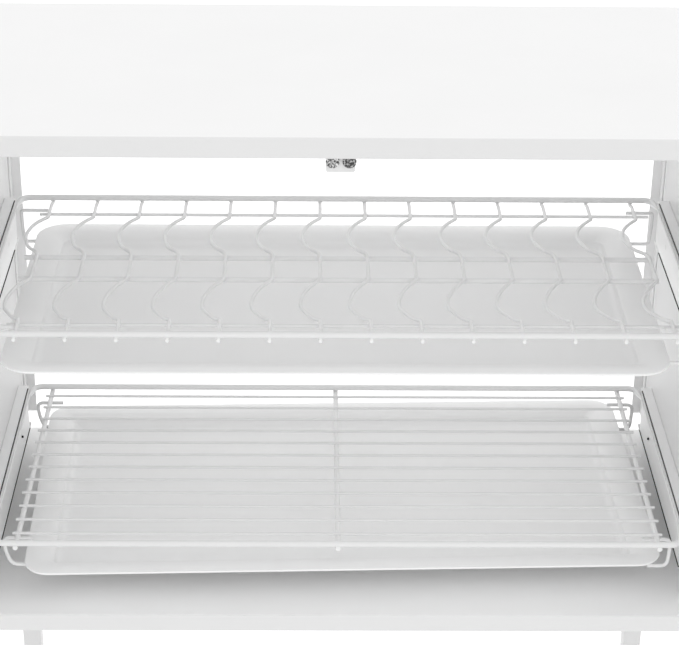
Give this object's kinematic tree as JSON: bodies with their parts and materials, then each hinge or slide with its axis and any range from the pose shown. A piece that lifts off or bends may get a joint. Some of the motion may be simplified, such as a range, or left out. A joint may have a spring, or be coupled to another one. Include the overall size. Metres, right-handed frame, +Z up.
{
  "type": "over-the-sink dish rack",
  "caption": "Standing cabinet on legs over a sink, with glazed swing doors, wire racks on telescopic slides and frosted drip trays that pull out.",
  "frame": {"origin": "on the floor under the middle of the part's box as it stands with both doors open", "axes": "+X to the right seen from the front, +Y to the rear, +Z up"},
  "size_m": [1.0322, 0.6485, 0.8499],
  "materials": {
    "board": "white coated board, satin",
    "powder_coat": "white powder coat, satin",
    "wire_coating": "white coated wire, semi-gloss",
    "slide_steel": "zinc-plated, satin",
    "bright_steel": "bare, satin",
    "tray_plastic": "frosted, translucent",
    "door_glass": "clear",
    "door_gasket": "matte",
    "foot_plastic": "black, matte",
    "bush_plastic": "white, matte"
  },
  "bodies": {
    "cabinet": {"top_panel": "board", "bottom_panel": "board", "catch_bracket": "powder_coat", "catch_magnet_left": "bright_steel", "catch_magnet_right": "bright_steel", "post_front_left": "powder_coat", "post_front_right": "powder_coat", "post_rear_left": "powder_coat", "post_rear_right": "powder_coat", "leg_front_left": "powder_coat", "leg_front_right": "powder_coat", "leg_rear_left": "powder_coat", "leg_rear_right": "powder_coat", "foot_front_left": "foot_plastic", "foot_front_right": "foot_plastic", "foot_rear_left": "foot_plastic", "foot_rear_right": "foot_plastic", "side_panel_left": "powder_coat", "side_panel_right": "powder_coat", "rear_strip_left": "powder_coat", "rear_strip_right": "powder_coat", "pivot_socket_left": "bush_plastic", "pivot_socket_right": "bush_plastic", "slide_outer_lower_left": "slide_steel", "slide_outer_lower_right": "slide_steel", "slide_outer_upper_left": "slide_steel", "slide_outer_upper_right": "slide_steel"},
    "upper_rack": {"upper_rack_frame": "wire_coating", "plate_grid": "wire_coating", "slide_inner_upper_left": "powder_coat", "slide_inner_upper_right": "powder_coat"},
    "lower_rack": {"lower_rack_frame": "wire_coating", "shelf_grid": "wire_coating", "slide_inner_lower_left": "powder_coat", "slide_inner_lower_right": "powder_coat"},
    "upper_drip_tray": {"upper_tray": "tray_plastic"},
    "lower_drip_tray": {"lower_tray": "tray_plastic"},
    "middle_upper_left": {"slide_middle_upper_left": "slide_steel"},
    "middle_upper_right": {"slide_middle_upper_right": "slide_steel"},
    "middle_lower_left": {"slide_middle_lower_left": "slide_steel"},
    "middle_lower_right": {"slide_middle_lower_right": "slide_steel"},
    "left_door": {"door_left_hinge_stile": "powder_coat", "door_left_free_stile": "powder_coat", "door_left_bottom_rail": "powder_coat", "door_left_top_rail": "powder_coat", "door_left_glass": "door_glass", "door_left_gasket": "door_gasket", "door_left_lower_pin": "bright_steel", "door_left_upper_pin": "bright_steel", "door_left_strike_plate": "bright_steel"},
    "right_door": {"door_right_hinge_stile": "powder_coat", "door_right_free_stile": "powder_coat", "door_right_bottom_rail": "powder_coat", "door_right_top_rail": "powder_coat", "door_right_glass": "door_glass", "door_right_gasket": "door_gasket", "door_right_lower_pin": "bright_steel", "door_right_upper_pin": "bright_steel", "door_right_strike_plate": "bright_steel"}
  },
  "joints": [
    {"name": "upper_rack_slide", "type": "slide", "parent": "cabinet", "child": "upper_rack", "axis": [0, -1, 0], "range_m": [-0.0076, 0.25]},
    {"name": "middle_upper_left_slide", "type": "slide", "parent": "cabinet", "child": "middle_upper_left", "axis": [0, -1, 0], "range_m": [-0.0039, 0.1251]},
    {"name": "middle_upper_right_slide", "type": "slide", "parent": "cabinet", "child": "middle_upper_right", "axis": [0, -1, 0], "range_m": [-0.0039, 0.1251]},
    {"name": "upper_tray_slide", "type": "slide", "parent": "upper_rack", "child": "upper_drip_tray", "axis": [0, -1, 0], "range_m": [0, 0.24]},
    {"name": "lower_rack_slide", "type": "slide", "parent": "cabinet", "child": "lower_rack", "axis": [0, -1, 0], "range_m": [-0.014, 0.25]},
    {"name": "middle_lower_left_slide", "type": "slide", "parent": "cabinet", "child": "middle_lower_left", "axis": [0, -1, 0], "range_m": [-0.0071, 0.1251]},
    {"name": "middle_lower_right_slide", "type": "slide", "parent": "cabinet", "child": "middle_lower_right", "axis": [0, -1, 0], "range_m": [-0.0071, 0.1251]},
    {"name": "lower_tray_slide", "type": "slide", "parent": "lower_rack", "child": "lower_drip_tray", "axis": [0, -1, 0], "range_m": [0, 0.24]},
    {"name": "left_door_hinge", "type": "hinge", "parent": "cabinet", "child": "left_door", "pos_m": [-0.342, -0.02401, 0.3678], "axis": [0, 0, -1], "range_deg": [-120, 50]},
    {"name": "right_door_hinge", "type": "hinge", "parent": "cabinet", "child": "right_door", "pos_m": [0.342, -0.02401, 0.3678], "axis": [0, 0, 1], "range_deg": [-120, 50]}
  ],
  "couplings": [
    {"joint": "middle_upper_left_slide", "follows": "upper_rack_slide", "ratio": 0.5},
    {"joint": "middle_upper_right_slide", "follows": "upper_rack_slide", "ratio": 0.5},
    {"joint": "middle_lower_left_slide", "follows": "lower_rack_slide", "ratio": 0.5},
    {"joint": "middle_lower_right_slide", "follows": "lower_rack_slide", "ratio": 0.5}
  ]
}
